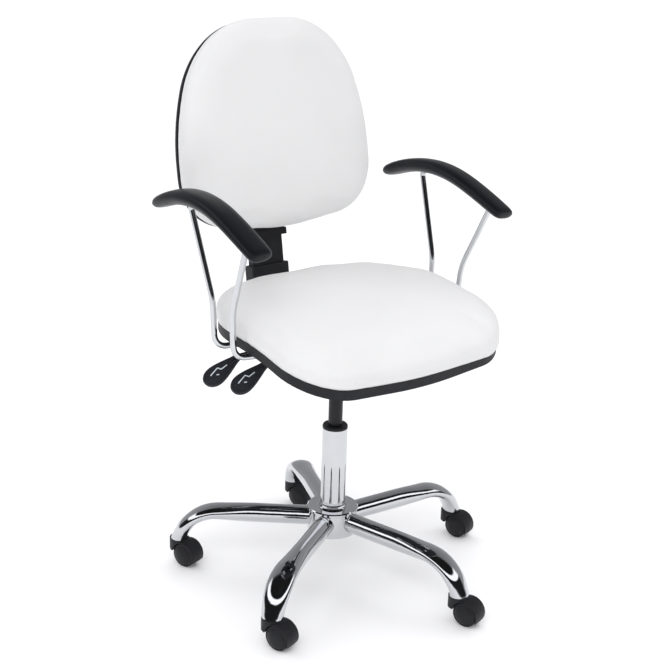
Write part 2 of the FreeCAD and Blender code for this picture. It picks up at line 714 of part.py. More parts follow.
def pad_stations():
    """Pad centreline from the rear tip to the front: y, height, width share, thickness share."""
    return (
        (190.0, 760.5, 0.60, 0.50), (184.0, 762.5, 0.86, 0.80), (170.0, 768.0, 0.98, 0.98),
        (148.0, 776.0, 1.0, 1.05), (118.0, 784.5, 1.0, 1.07), (85.0, 790.0, 1.0, 1.08),
        (50.0, 791.5, 1.0, 1.08), (15.0, 788.5, 1.0, 1.06), (-20.0, 781.0, 1.0, 1.03),
        (-55.0, 769.5, 1.0, 1.0), (-90.0, 756.0, 1.0, 0.96), (-120.0, 743.5, 0.98, 0.92),
        (-138.0, 736.0, 0.93, 0.86), (-145.0, 733.0, 0.80, 0.66),
    )


def arm_pad():
    """The arched pad, tipped outwards and grooved underneath for the rod."""
    stations = pad_stations()
    tip = math.radians(ARM_PAD_TIP)
    across = Vector(math.cos(tip), 0.0, -math.sin(tip))
    sections = []
    for index, (y, z, wide, thick) in enumerate(stations):
        before, after = stations[max(index - 1, 0)], stations[min(index + 1, len(stations) - 1)]
        slope = Vector(0.0, after[0] - before[0], after[1] - before[1]).normalize()
        upward = slope.cross(across)
        half_height = ARM_PAD_THICKNESS / 2.0 * thick
        centre = Vector(ARM_PAD_X - (y - 30.0) * 0.024, y, z)
        sections.append(rounded_rectangle(
            centre, across, upward, ARM_PAD_WIDTH / 2.0 * wide, half_height, half_height * 0.72
        ))
    body = Part.makeLoft(sections, True, False, False, 3)
    points, radii = zip(*arm_rod_points())
    return body.cut(rod(list(points), list(radii), ARM_ROD_RADIUS))


# ---- back, modelled in the upright's own frame: x across, y up the upright, z forward
def leaned(shape):
    shape.Placement = Placement(BACK_ORIGIN, Rotation(Vector(1.0, 0.0, 0.0), 90.0 - BACK_LEAN))
    return shape


def in_back_frame(point):
    frame = Placement(BACK_ORIGIN, Rotation(Vector(1.0, 0.0, 0.0), 90.0 - BACK_LEAN))
    return frame.inverse().multVec(point)


def back_upright():
    """The bent flat bar, with the barrel that turns on the pivot pin."""
    half = BAR_THICKNESS / 2.0
    pivot = in_back_frame(Vector(0.0, PIVOT_Y, PIVOT_Z))
    heel = in_back_frame(Vector(0.0, BACK_ORIGIN.y - 14.0, PIVOT_Z))
    path = [Vector(0.0, BAR_TOP, 0.0), Vector(0.0, heel.y, 0.0), pivot]
    wire = rounded_path(path, [0.0, 34.0, 0.0])
    section = rounded_rectangle(
        path[0], Vector(1.0, 0.0, 0.0), Vector(0.0, 0.0, 1.0), BAR_HALF_WIDTH, half, 1.5
    )
    bar = wire.makePipeShell([section], True, False)
    along = Vector(1.0, 0.0, 0.0)
    barrel = cylinder(12.0, 56.0, pivot - along * 28.0, along)
    bore = cylinder(PIVOT_RADIUS + RUNNING_GAP, 80.0, pivot - along * 40.0, along)
    return leaned(union([bar, barrel]).cut(bore))


def back_box(half_width, low, high, rear, front, radius):
    """A block with rounded upright edges: low and high up the upright, rear and front across it."""
    middle = Vector(0.0, low, (rear + front) / 2.0)
    section = rounded_rectangle(
        middle, Vector(1.0, 0.0, 0.0), Vector(0.0, 0.0, 1.0), half_width, (front - rear) / 2.0, radius
    )
    return Part.Face(section).extrude(Vector(0.0, high - low, 0.0))


def bar_space():
    """Room for the bar, with a little clearance."""
    half = BAR_THICKNESS / 2.0 + 0.3
    return block((-BAR_HALF_WIDTH - 0.3, -200.0, -half), (BAR_HALF_WIDTH + 0.3, BAR_TOP + 40.0, half))


def lower_cover():
    """The boot around the upright's heel."""
    outside = back_box(45.0, -112.0, 9.0, -13.0, 18.0, 4.0)
    inside = back_box(42.5, -109.0, 6.0, -10.5, 15.5, 3.0)
    mouth = back_box(38.4, 0.0, 20.0, -9.4, 12.4, 3.0)
    front_slot = block((-28.0, -106.0, 0.0), (28.0, -62.0, 60.0))
    return leaned(outside.cut([inside, mouth, front_slot]))


def middle_cover():
    """The sleeve that the upper cover slides over."""
    half, inner = 38.0, 35.5
    outside = back_box(half, 5.0, 100.0, -9.0, 12.0, 4.0)
    inside = back_box(inner, -30.0, 110.0, -6.8, 9.8, 2.0)
    ribs = [
        block((-inner if sx < 0 else BAR_HALF_WIDTH, 20.0, -3.0),
              (-BAR_HALF_WIDTH if sx < 0 else inner, 80.0, 0.0))
        for sx in (-1, 1)
    ]
    return leaned(union([outside.cut(inside)] + ribs))


def upper_cover():
    """The cover on the backrest that hides the slide, with a lip around its lower end."""
    lip = back_box(46.0, 66.0, 79.0, -16.0, 20.0, 5.0)
    body = back_box(43.0, 79.0, 330.0, -14.0, 18.0, 6.0)
    inside = back_box(40.5, 60.0, 327.0, -11.5, 15.5, 4.0)
    window = block((-37.0, 148.0, 0.0), (37.0, 252.0, 60.0))
    return leaned(union([lip, body]).cut([inside, window]))


def back_screw_points():
    return [Vector(sx * 24.0, y, 0.0) for sx in (-1, 1) for y in (172.0, 228.0)]


def slide_bracket():
    """The sleeve on the bar, standing off to the flange that carries the backrest."""
    sleeve = block((-36.0, 150.0, -9.5), (36.0, 250.0, 9.5)).cut(bar_space())
    ribs = [block((x - 2.0, 152.0, 9.0), (x + 2.0, 248.0, SHELL_BACK - 3.0)) for x in (-34.0, 34.0)]
    flange = block((-36.0, 152.0, SHELL_BACK - 3.0), (36.0, 248.0, SHELL_BACK))
    screw_holes = [
        cylinder(3.0, 12.0, point + UP * (SHELL_BACK - 8.0)) for point in back_screw_points()
    ]
    return leaned(union([sleeve, flange] + ribs).cut(screw_holes))


def back_outline(grow, scale=1.0):
    """The backrest's outline, centred on its own origin in the upright's frame."""
    right_side = [
        (94.0, 177.0, 153.0), (181.5, 103.5, 185.0), (218.0, -22.0, 440.0), (218.0, -199.0, 100.0),
    ]
    left_side = [(-x, y, radius) for x, y, radius in reversed(right_side)]
    corners = right_side + [(0.0, -223.0, 500.0)] + left_side
    points = [Vector(x, y, 0.0) for x, y, radius in corners]
    wire = rounded_path(points, [radius for x, y, radius in corners], closed=True)
    if grow:
        wire = wire.makeOffset2D(grow)
    if scale != 1.0:
        wire = wire.scaled(scale, Vector(0.0, -20.0, 0.0))
    return wire


def at_depth(wire, depth):
    copy = wire.copy()
    copy.translate(Vector(0.0, BACK_CENTRE, depth))
    return copy


def shell_dome(inset):
    """The dished outside of the back shell; inset is the distance inside that surface."""
    levels = (
        (0.0, 1.0), (SHELL_RIM, 1.0), (14.0, 0.92), (21.0, 0.76), (27.5, 0.52), (SHELL_DEPTH, 0.25),
    )
    sections = [
        at_depth(back_outline(-inset, scale), BACK_RIM - max(depth - inset, -1.0 if inset else 0.0))
        for depth, scale in levels
    ]
    return Part.makeLoft(sections, True, True)


def back_shell():
    """The plastic back of the backrest, with a boss for each screw."""
    bosses = [
        cylinder(7.0, BACK_RIM - SHELL_BACK - 12.0, point + UP * SHELL_BACK)
        for point in back_screw_points()
    ]
    shell = shell_dome(0.0).cut(shell_dome(SHELL_WALL))
    screw_holes = [cylinder(3.0, FAR, point) for point in back_screw_points()]
    return leaned(union([shell] + bosses).cut(screw_holes))


def back_board():
    plate = Part.Face(at_depth(back_outline(-BACK_BOARD_INSET), BACK_RIM - 12.0)).extrude(UP * 9.0)
    return leaned(plate.cut([cylinder(3.0, FAR, point) for point in back_screw_points()]))


def back_screws():
    made = []
    for point in back_screw_points():
        head = cylinder(6.0, 3.5, point + UP * (SHELL_BACK - 6.5))
        shank = cylinder(3.0, BACK_RIM - 5.0 - SHELL_BACK + 3.0, point + UP * (SHELL_BACK - 3.0))
        made.append(leaned(union([head, shank])))
    return Part.makeCompound(made)


def back_cushion():
    """Plain upholstery with a plug inside the shell's rim."""
    body = Part.Face(at_depth(back_outline(3.0), BACK_RIM + 0.1)).extrude(UP * (BACK_DEPTH - 0.1))
    front_edges = [edge for edge in body.Edges if edge.BoundBox.ZMin > BACK_RIM + BACK_DEPTH - 1.0]
    body = body.makeFillet(CUSHION_SHOULDER, front_edges)
    plug = Part.Face(at_depth(back_outline(-SHELL_WALL - 0.5), BACK_RIM - 2.9)).extrude(UP * 8.0)
    return leaned(union([body, plug]))


# ---- the whole chair
def chair_parts():
    parts = {
        "hub_shell": hub_shell(),
        "hub_cover": hub_cover(),
        "column_tube": column_tube(),
        "column_bush": column_bush(),
        "castor_stems": castor_stems(),
        "piston_rod": piston_rod(),
        "thrust_bearing": thrust_bearing(),
        "retaining_clip": retaining_clip(),
        "gas_cylinder": gas_cylinder(),
        "valve_pin": valve_pin(),
        "seat_pan": seat_pan(),
        "seat_board": seat_board(),
        "seat_cushion": seat_cushion(),
        "mechanism_housing": mechanism_housing(),
        "seat_bolts": seat_bolts(),
        "arm_bolts": arm_bolts(),
        "back_pivot_pin": back_pivot_pin(),
        "return_springs": return_springs(),
        "height_lever_rod": height_lever_rod(),
        "tilt_lever_rod": tilt_lever_rod(),
        "back_upright": back_upright(),
        "lower_cover": lower_cover(),
        "middle_cover": middle_cover(),
        "upper_cover": upper_cover(),
        "slide_bracket": slide_bracket(),
        "back_shell": back_shell(),
        "back_board": back_board(),
        "back_screws": back_screws(),
        "back_cushion": back_cushion(),
    }
    parts["height_lever_paddle"] = lever_paddle(-187.0, -LEVER_Y, parts["height_lever_rod"])
    parts["tilt_lever_paddle"] = lever_paddle(-207.0, LEVER_Y, parts["tilt_lever_rod"])
    frame, pad = arm_frame(), arm_pad()
    parts["arm_frame_left"], parts["arm_pad_left"] = frame, pad
    parts["arm_frame_right"], parts["arm_pad_right"] = mirrored(frame), mirrored(pad)
    one_leg, fork, axle = leg(), castor_fork(), castor_axle()
    wheels = {"wheel_a": castor_wheel(-1), "wheel_b": castor_wheel(1)}
    for number, degrees in enumerate(leg_angles(), start=1):
        parts[f"leg_{number}"] = turned_about_column(one_leg, degrees)
        parts[f"castor_{number}_fork"] = placed_castor(fork, degrees)
        parts[f"castor_{number}_axle"] = placed_castor(axle, degrees)
        for name, wheel in wheels.items():
            parts[f"castor_{number}_{name}"] = placed_castor(wheel, degrees)
    return parts


def main():
    os.makedirs("parts", exist_ok=True)
    for name, shape in chair_parts().items():
        shape.exportStep(os.path.join("parts", name + ".step"))
        state = "valid" if shape.isValid() else "NOT VALID"
        print(name, "solids", len(shape.Solids), "volume", round(shape.Volume), state)


main()
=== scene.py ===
import json
import math

import bmesh
import bpy
from mathutils import Matrix, Vector
from mathutils.bvhtree import BVHTree


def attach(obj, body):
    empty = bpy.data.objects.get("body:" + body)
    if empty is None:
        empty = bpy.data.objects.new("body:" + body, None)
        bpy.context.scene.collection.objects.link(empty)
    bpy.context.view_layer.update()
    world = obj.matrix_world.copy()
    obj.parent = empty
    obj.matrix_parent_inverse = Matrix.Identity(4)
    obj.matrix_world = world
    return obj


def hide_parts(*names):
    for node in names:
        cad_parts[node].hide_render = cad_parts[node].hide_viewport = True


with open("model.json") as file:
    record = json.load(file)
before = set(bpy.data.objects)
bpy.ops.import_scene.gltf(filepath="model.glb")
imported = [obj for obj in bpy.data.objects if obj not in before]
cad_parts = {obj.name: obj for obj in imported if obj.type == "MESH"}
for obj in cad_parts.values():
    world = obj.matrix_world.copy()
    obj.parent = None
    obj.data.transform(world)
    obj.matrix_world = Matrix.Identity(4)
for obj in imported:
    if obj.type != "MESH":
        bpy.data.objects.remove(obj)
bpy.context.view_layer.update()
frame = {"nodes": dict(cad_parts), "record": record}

MM = 0.001
NODES = frame["nodes"]
SLOT_OF = {part["node"]: part["material_slot"] for part in frame["record"]["subparts"]}


# ---- materials
class Shader:
    """A Principled material with a short way to add and link nodes."""

    def __init__(self, name, colour, roughness, metallic=0.0, **sockets):
        self.material = bpy.data.materials.new(name)
        self.material.use_nodes = True
        self.tree = self.material.node_tree
        self.base = self.tree.nodes["Principled BSDF"]
        self.colour, self.roughness = colour, roughness
        self.set(self.base, {"Base Color": (*colour, 1.0), "Roughness": roughness, "Metallic": metallic})
        self.set(self.base, sockets)
        self.place = self.add("ShaderNodeTexCoord").outputs["Object"]

    def add(self, kind, sockets=None, **settings):
        node = self.tree.nodes.new(kind)
        for key, value in settings.items():
            setattr(node, key, value)
        self.set(node, sockets or {})
        return node

    def set(self, node, sockets):
        for key, value in sockets.items():
            if isinstance(value, bpy.types.NodeSocket):
                self.tree.links.new(value, node.inputs[key])
            else:
                node.inputs[key].default_value = value

    def noise(self, scale, detail=3.0, roughness=0.5, stretch=None):
        place = self.place
        if stretch:
            place = self.add("ShaderNodeMapping", {"Vector": place, "Scale": stretch}).outputs[0]
        sockets = {"Vector": place, "Scale": scale, "Detail": detail, "Roughness": roughness}
        return self.add("ShaderNodeTexNoise", sockets).outputs["Fac"]

    def cells(self, scale, feature):
        sockets = {"Vector": self.place, "Scale": scale}
        node = self.add("ShaderNodeTexVoronoi", sockets, feature=feature)
        if feature == "SMOOTH_F1":
            node.inputs["Smoothness"].default_value = 0.6
        return node.outputs["Distance"]

    def ramp(self, value, low, high, to_low=0.0, to_high=1.0):
        sockets = {"Value": value, "From Min": low, "From Max": high, "To Min": to_low, "To Max": to_high}
        return self.add("ShaderNodeMapRange", sockets).outputs["Result"]

    def maths(self, operation, first, second):
        node = self.add("ShaderNodeMath", {0: first, 1: second}, operation=operation)
        return node.outputs[0]

    def mottle(self, value, darker, lighter):
        """Vary the colour between two shades of itself as value goes from 0 to 1."""
        low = (*(c * darker for c in self.colour), 1.0)
        high = (*(min(c * lighter, 1.0) for c in self.colour), 1.0)
        node = self.add("ShaderNodeMix", {"Factor": value}, data_type="RGBA")
        node.inputs["A"].default_value, node.inputs["B"].default_value = low, high
        self.set(self.base, {"Base Color": node.outputs["Result"]})

    def vary_roughness(self, value, spread):
        low, high = self.roughness - spread, self.roughness + spread
        self.set(self.base, {"Roughness": self.ramp(value, 0.3, 0.7, low, high)})

    def bump(self, height, distance, strength=1.0, under=None):
        sockets = {"Height": height, "Distance": distance, "Strength": strength}
        if under is not None:
            sockets["Normal"] = under
        node = self.add("ShaderNodeBump", sockets)
        self.set(self.base, {"Normal": node.outputs["Normal"]})
        return node.outputs["Normal"]


def white_vinyl():
    """Smooth coated cloth: a fine pebble grain over a faint fold of the knit beneath."""
    s = Shader("white_vinyl", (0.70, 0.70, 0.698), 0.46, **{"Specular IOR Level": 0.42})
    s.set(s.base, {"Coat Weight": 0.06, "Coat Roughness": 0.38})
    s.mottle(s.ramp(s.noise(6.0, 2.0), 0.3, 0.7), 0.975, 1.02)
    s.vary_roughness(s.noise(28.0, 3.0), 0.05)
    pebbles = s.cells(620.0, "SMOOTH_F1")
    wrinkles = s.noise(260.0, 4.0, 0.6)
    grain = s.maths("ADD", pebbles, s.maths("MULTIPLY", wrinkles, 0.5))
    under = s.bump(s.noise(22.0, 3.0), 0.0016, 0.25)
    s.bump(grain, 0.00022, 0.45, under)
    return s.material


def chrome():
    s = Shader("chrome_plate", (0.595, 0.605, 0.625), 0.045, 1.0)
    s.mottle(s.ramp(s.noise(14.0, 4.0), 0.3, 0.7), 0.95, 1.03)
    s.vary_roughness(s.noise(40.0, 5.0, 0.6), 0.025)
    s.bump(s.noise(30.0, 2.0), 0.0004, 0.12)
    return s.material


def moulded_plastic(name, colour, roughness, grain, depth, coat=0.0):
    """Black moulded plastic with a spark-eroded grain and a few lighter scuffs."""
    s = Shader(name, colour, roughness, **{"Specular IOR Level": 0.24})
    if coat:
        s.set(s.base, {"Coat Weight": coat, "Coat Roughness": 0.32})
    scuffs = s.ramp(s.noise(45.0, 6.0, 0.7), 0.56, 0.74)
    s.mottle(scuffs, 0.94, 1.5)
    s.vary_roughness(s.noise(60.0, 4.0), 0.06)
    pits = s.cells(grain, "SMOOTH_F1")
    mixed = s.maths("ADD", pits, s.maths("MULTIPLY", s.noise(grain * 0.6, 3.0), 0.8))
    s.bump(mixed, depth, 0.5)
    return s.material


def pad_skin():
    """Self-skinned foam: a soft sheen over a leather-like grain."""
    s = Shader("pad_skin", (0.0045, 0.0052, 0.0072), 0.34, **{"Specular IOR Level": 0.24})
    s.mottle(s.ramp(s.noise(18.0, 3.0), 0.3, 0.7), 0.9, 1.25)
    s.vary_roughness(s.noise(35.0, 4.0), 0.05)
    creases = s.cells(330.0, "DISTANCE_TO_EDGE")
    veins = s.ramp(creases, 0.0, 0.12)
    s.bump(s.maths("ADD", veins, s.noise(700.0, 3.0)), 0.00012, 0.4)
    return s.material


def painted_steel():
    """Powder coat with its fine orange peel."""
    s = Shader("black_paint", (0.011, 0.011, 0.013), 0.38, **{"Specular IOR Level": 0.28})
    s.mottle(s.ramp(s.noise(30.0, 4.0), 0.35, 0.7), 0.9, 1.3)
    s.vary_roughness(s.noise(50.0, 3.0), 0.05)
    s.bump(s.noise(520.0, 2.0), 0.00012, 0.4)
    return s.material


def bare_steel():
    s = Shader("steel", (0.55, 0.55, 0.56), 0.30, 1.0)
    s.mottle(s.ramp(s.noise(70.0, 4.0), 0.3, 0.7), 0.85, 1.1)
    s.vary_roughness(s.noise(90.0, 5.0), 0.08)
    s.bump(s.noise(240.0, 3.0, stretch=(1.0, 1.0, 8.0)), 0.00008, 0.4)
    return s.material


def plywood():
    s = Shader("plywood", (0.52, 0.36, 0.21), 0.62)
    plies = s.noise(24.0, 4.0, 0.6, stretch=(1.0, 6.0, 14.0))
    s.mottle(s.ramp(plies, 0.35, 0.65), 0.72, 1.2)
    s.vary_roughness(plies, 0.08)
    s.bump(plies, 0.0003, 0.5)
    return s.material


def printed_mark():
    """The pale symbol printed into a lever's face."""
    s = Shader("mark_paint", (0.62, 0.68, 0.74), 0.42)
    s.mottle(s.ramp(s.noise(400.0, 3.0), 0.3, 0.7), 0.86, 1.08)
    s.bump(s.noise(900.0, 2.0), 0.00008, 0.4)
    return s.material


LOOKS = {
    "white_vinyl": white_vinyl(),
    "chrome_plate": chrome(),
    "castor_plastic": moulded_plastic("castor_plastic", (0.0125, 0.0128, 0.0155), 0.50, 900.0, 0.00012),
    "black_plastic": moulded_plastic("black_plastic", (0.0135, 0.014, 0.017), 0.50, 700.0, 0.00016),
    "lever_plastic": moulded_plastic("lever_plastic", (0.020, 0.021, 0.027), 0.42, 1100.0, 0.00008, 0.1),
    "black_paint": painted_steel(),
    "steel": bare_steel(),
    "pad_skin": pad_skin(),
    "plywood": plywood(),
}
for name, piece in NODES.items():
    piece.data.materials.clear()
    piece.data.materials.append(LOOKS[SLOT_OF[name]])


# ---- mesh helpers
ARC_STEPS = 24
VOXEL, SMOOTHING, SMOOTHING_ROUNDS = 0.006, 0.5, 6
CLOTH_FRAMES, EVENING_ROUNDS, EVENING_SHARE = 20, 30, 0.6
HELD_HEIGHT, HELD_FADE = 0.010, 0.008
# a broad face is filled by its last ring, drawn in to these shares
FACE_SHARES = (0.8, 0.55, 0.3, 0.1)


def clamped(value):
    """The value, kept between 0 and 1."""
    return min(max(value, 0.0), 1.0)


def held(height):
    """1 where a cover is stapled to its rim and 0 where it is free, by height above the rim."""
    return clamped((HELD_HEIGHT - height) / HELD_FADE)


def new_piece(name, vertices, faces, slot, body, look=None):
    """A smooth-shaded mesh that rides on a body, with its slot's finish unless a look is given."""
    mesh = bpy.data.meshes.new(name)
    mesh.from_pydata([tuple(v) for v in vertices], [], faces)
    mesh.validate()
    fix = bmesh.new()
    fix.from_mesh(mesh)
    bmesh.ops.recalc_face_normals(fix, faces=fix.faces)
    fix.to_mesh(mesh)
    fix.free()
    mesh.polygons.foreach_set("use_smooth", [True] * len(mesh.polygons))
    mesh.materials.append(look or LOOKS[slot])
    piece = bpy.data.objects.new(name, mesh)
    bpy.context.scene.collection.objects.link(piece)
    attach(piece, body)
    return piece


def skin(rings):
    """Quads between rings of equal length, with a centre point closing each end."""
    count = len(rings[0])
    vertices = [point for ring in rings for point in ring]
    faces = []
    for row in range(len(rings) - 1):
        for i in range(count):
            j = (i + 1) % count
            low, high = row * count, (row + 1) * count
            faces.append((low + i, low + j, high + j, high + i))
    for ring, row in ((rings[0], 0), (rings[-1], len(rings) - 1)):
        middle = sum(ring, Vector()) / count
        vertices.append(middle)
        tip = len(vertices) - 1
        for i in range(count):
            faces.append((row * count + i, row * count + (i + 1) % count, tip))
    return vertices, faces


def rounded_outline(corners, count):
    """Evenly spaced points round a polygon whose (x, y, radius) corners are rounded."""
    dense = []
    total = len(corners)
    for index, (x, y, radius) in enumerate(corners):
        corner = Vector((x, y))
        before = Vector(corners[index - 1][:2]) - corner
        after = Vector(corners[(index + 1) % total][:2]) - corner
        before.normalize()
        after.normalize()
        half = before.angle(after) / 2.0
        reach = radius / math.tan(half)
        centre = corner + (before + after).normalized() * (radius / math.sin(half))
        start = corner + before * reach - centre
        sweep = start.angle_signed(corner + after * reach - centre)
        for step in range(ARC_STEPS + 1):
            turned = start.copy()
            turned.rotate(Matrix.Rotation(-sweep * step / ARC_STEPS, 2))
            dense.append(centre + turned)
    lengths = [(dense[(i + 1) % len(dense)] - point).length for i, point in enumerate(dense)]
    around = sum(lengths)
    points, index, passed = [], 0, 0.0
    for step in range(count):
        want = around * step / count
        while passed + lengths[index] < want:
            passed += lengths[index]
            index += 1
        share = (want - passed) / max(lengths[index], 1e-9)
        points.append(dense[index].lerp(dense[(index + 1) % len(dense)], share))
    return points


def offset_outline(points, inset):
    """Every point moved inwards along the outline's own normal."""
    moved = []
    for index, point in enumerate(points):
        along = points[(index + 1) % len(points)] - points[index - 1]
        inward = Vector((-along.y, along.x)).normalized()
        if inward.dot(point) > 0.0:
            inward = -inward
        moved.append(point + inward * inset)
    return moved


def smooth_steps(table, steps):
    """Catmull-Rom values between the rows of a table."""
    rows = []
    last = len(table) - 1
    for index in range(last):
        a, b, c, d = (table[min(max(index + k, 0), last)] for k in (-1, 0, 1, 2))
        for step in range(steps):
            t = step / steps
            rows.append(tuple(
                0.5 * (2 * q + (r - p) * t + (2 * p - 5 * q + 4 * r - s) * t * t
                       + (3 * q - p - 3 * r + s) * t ** 3)
                for p, q, r, s in zip(a, b, c, d)
            ))
    rows.append(tuple(table[-1]))
    return rows


def apply_modifiers(piece):
    depsgraph = bpy.context.evaluated_depsgraph_get()
    done = bpy.data.meshes.new_from_object(piece.evaluated_get(depsgraph))
    old = piece.data
    piece.modifiers.clear()
    piece.data = done
    bpy.data.meshes.remove(old)
    piece.data.polygons.foreach_set("use_smooth", [True] * len(piece.data.polygons))


def subdivide(piece):
    modifier = piece.modifiers.new("subdivide", "SUBSURF")
    modifier.levels = modifier.render_levels = 1
    apply_modifiers(piece)


def remesh(piece):
    modifier = piece.modifiers.new("remesh", "REMESH")
    modifier.mode = "VOXEL"
    modifier.voxel_size = VOXEL
    apply_modifiers(piece)
    smooth = piece.modifiers.new("smooth", "SMOOTH")
    smooth.factor, smooth.iterations = SMOOTHING, SMOOTHING_ROUNDS
    apply_modifiers(piece)


def evened(mesh, moves):
    """Bring each vertex's move towards its neighbours' average, again and again."""
    near = [[] for _ in moves]
    for edge in mesh.edges:
        a, b = edge.vertices
        near[a].append(b)
        near[b].append(a)
    for _ in range(EVENING_ROUNDS):
        moves = [
            move.lerp(sum((moves[j] for j in around), Vector()) / max(len(around), 1), EVENING_SHARE)
            for move, around in zip(moves, near)
        ]
    return moves


def inflate(piece, hold, cap, creases):
    """Swell a closed cover by cloth simulation; hold(point) is 1 where it is fixed and 0 where free.

    No point moves further than cap. The swell is evened out, and creases is the share of its short
    wrinkles that is kept."""
    start = [v.co.copy() for v in piece.data.vertices]
    group = piece.vertex_groups.new(name="held")
    for index, point in enumerate(start):
        group.add([index], hold(point), "REPLACE")
    cloth = piece.modifiers.new("cloth", "CLOTH")
    rules = cloth.settings
    rules.quality = 5
    rules.mass = 0.25
    rules.tension_stiffness = rules.compression_stiffness = 12.0
    rules.shear_stiffness = 6.0
    rules.bending_stiffness = 1.5
    rules.vertex_group_mass = "held"
    rules.use_pressure = True
    rules.uniform_pressure_force = 4.0
    rules.effector_weights.gravity = 0.0
    scene = bpy.context.scene
    for number in range(1, CLOTH_FRAMES + 1):
        scene.frame_set(number)
    swollen = piece.evaluated_get(bpy.context.evaluated_depsgraph_get()).data
    moves = [swollen.vertices[i].co - point for i, point in enumerate(start)]
    broad = evened(piece.data, moves)
    moves = [wide.lerp(move, creases) for wide, move in zip(broad, moves)]
    piece.modifiers.clear()
    piece.vertex_groups.clear()
    scene.frame_set(1)
    for vertex, point, move in zip(piece.data.vertices, start, moves):
        length = move.length
        if length > cap:
            move = move * (cap / length)
        vertex.co = point + move * (1.0 - hold(point))


# ---- seat cushion
SEAT_CORNERS = [
    (0.0, -0.255, 0.9), (0.249, -0.235, 0.105), (0.244, 0.171, 0.180),
    (-0.244, 0.171, 0.180), (-0.249, -0.235, 0.105),
]
PAN_UNDERSIDE, PAN_DEPTH = 0.533, 0.018
SEAT_RIM = PAN_UNDERSIDE + PAN_DEPTH
ROLL_START, ROLL_RADIUS = 0.015, 0.680
SEAT_FACE_INSET, SEAT_FACE_HEIGHT, SEAT_MIDDLE = 0.105, 0.049, -0.03


def seat_drop(y):
    """How far the seat's side profile has rolled down at y."""
    reach = max(ROLL_START - y, 0.0)
    return ROLL_RADIUS - math.sqrt(ROLL_RADIUS ** 2 - reach ** 2)


def height_above_rim(point):
    return point.z - SEAT_RIM + seat_drop(point.y)


def seat_rings():
    """Rings from the underside of the cushion, out over the pan's edge and in across the top."""
    outline = rounded_outline(SEAT_CORNERS, 160)
    profile = (
        (30.0, -5.0), (7.0, -5.0), (3.0, -2.0), (-1.0, 1.0), (-5.0, 5.0), (-9.0, 12.0), (-10.0, 20.0),
        (-8.5, 27.0), (-5.0, 33.0), (1.5, 38.5), (9.0, 42.5), (19.0, 45.0), (34.0, 46.5),
        (55.0, 47.5), (80.0, 48.5), (105.0, 49.0),
    )
    rings = []
    for inset, height in profile:
        rings.append([
            Vector((p.x, p.y, SEAT_RIM + height * MM - seat_drop(p.y)))
            for p in offset_outline(outline, inset * MM)
        ])
    for share in FACE_SHARES:
        ring = []
        for p in offset_outline(outline, SEAT_FACE_INSET):
            y = p.y * share + SEAT_MIDDLE * (1 - share)
            ring.append(Vector((p.x * share, y, SEAT_RIM + SEAT_FACE_HEIGHT - seat_drop(y))))
        rings.append(ring)
    return rings


def make_seat_cushion():
    piece = new_piece("seat_upholstery", *skin(seat_rings()), "white_vinyl", "seat")
    remesh(piece)

    def hold(point):
        return held(height_above_rim(point))

    inflate(piece, hold, cap=0.005, creases=0.3)
    seat_puckers(piece)
    droop_corner(piece)
    clear_of_rods(piece)
    subdivide(piece)
    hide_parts("seat_cushion")


# side of the seat, place along it, lean of the fold, half width, depth, reach upwards
PUCKERS = (
    (-1, -0.052, 0.35, 0.0065, 0.0026, 0.026), (-1, 0.104, -0.30, 0.0070, 0.0022, 0.030),
    (1, -0.045, 0.30, 0.0070, 0.0022, 0.026), (1, 0.096, -0.25, 0.0070, 0.0020, 0.028),
)
# a fold ends this many half widths to its side and this many reaches up; a ridge runs beside it
PUCKER_WIDTHS, PUCKER_REACHES, RIDGE_SHARE, RIDGE_PLACE = 3.0, 2.0, 0.45, 1.5
PUCKER_START = 0.16
# the inner face of an arm's rear rod, its place along the seat, and its dent's spread and depth
ROD_FACE, ROD_PLACE, ROD_RELIEF, DENT_DEPTH = 0.2572, 0.029, 0.030, 0.010
DENT_FLAT = 0.4
# the drooped corner: its drop, and where each fade starts and how long it is
DROOP = 0.0085
DROOP_TOP, DROOP_TOP_FADE = 0.030, 0.020
DROOP_SIDE, DROOP_SIDE_FADE = 0.04, 0.18
DROOP_BACK, DROOP_BACK_FADE = 0.06, 0.12
DROOP_RIM, DROOP_RIM_FADE = 0.001, 0.004


def droop_corner(piece):
    """At the +X front corner the cover is pulled lower, so that it hides the top of the pan's edge."""
    for vertex in piece.data.vertices:
        point = vertex.co
        height = height_above_rim(point)
        low = clamped((DROOP_TOP - height) / DROOP_TOP_FADE)
        across = clamped((point.x - DROOP_SIDE) / DROOP_SIDE_FADE)
        along = clamped((DROOP_BACK - point.y) / DROOP_BACK_FADE)
        outside = clamped((height + DROOP_RIM) / DROOP_RIM_FADE)
        point.z -= DROOP * low * across * along * outside


def clear_of_rods(piece):
    """Press the cover in where each arm's rear rod stands against it."""
    for vertex in piece.data.vertices:
        point = vertex.co
        away = abs(point.y - ROD_PLACE) / ROD_RELIEF
        limit = ROD_FACE + DENT_DEPTH * clamped(away - DENT_FLAT)
        if abs(point.x) > limit:
            point.x = math.copysign(limit, point.x)


def seat_puckers(piece):
    """Short folds that rise from the stapled edge where the cover is pulled over the board."""
    for vertex in piece.data.vertices:
        point = vertex.co
        height = height_above_rim(point)
        if height < 0.0 or abs(point.x) < PUCKER_START:
            continue
        for side, y, lean, width, depth, reach in PUCKERS:
            if side * point.x < 0.0:
                continue
            away = (point.y - y - lean * height) / width
            if abs(away) > PUCKER_WIDTHS or height > PUCKER_REACHES * reach:
                continue
            fade = math.exp(-(height / reach) ** 2)
            ridge = RIDGE_SHARE * math.exp(-((abs(away) - RIDGE_PLACE) ** 2))
            crease = -math.exp(-away * away) + ridge
            point.x += side * depth * fade * crease


make_seat_cushion()


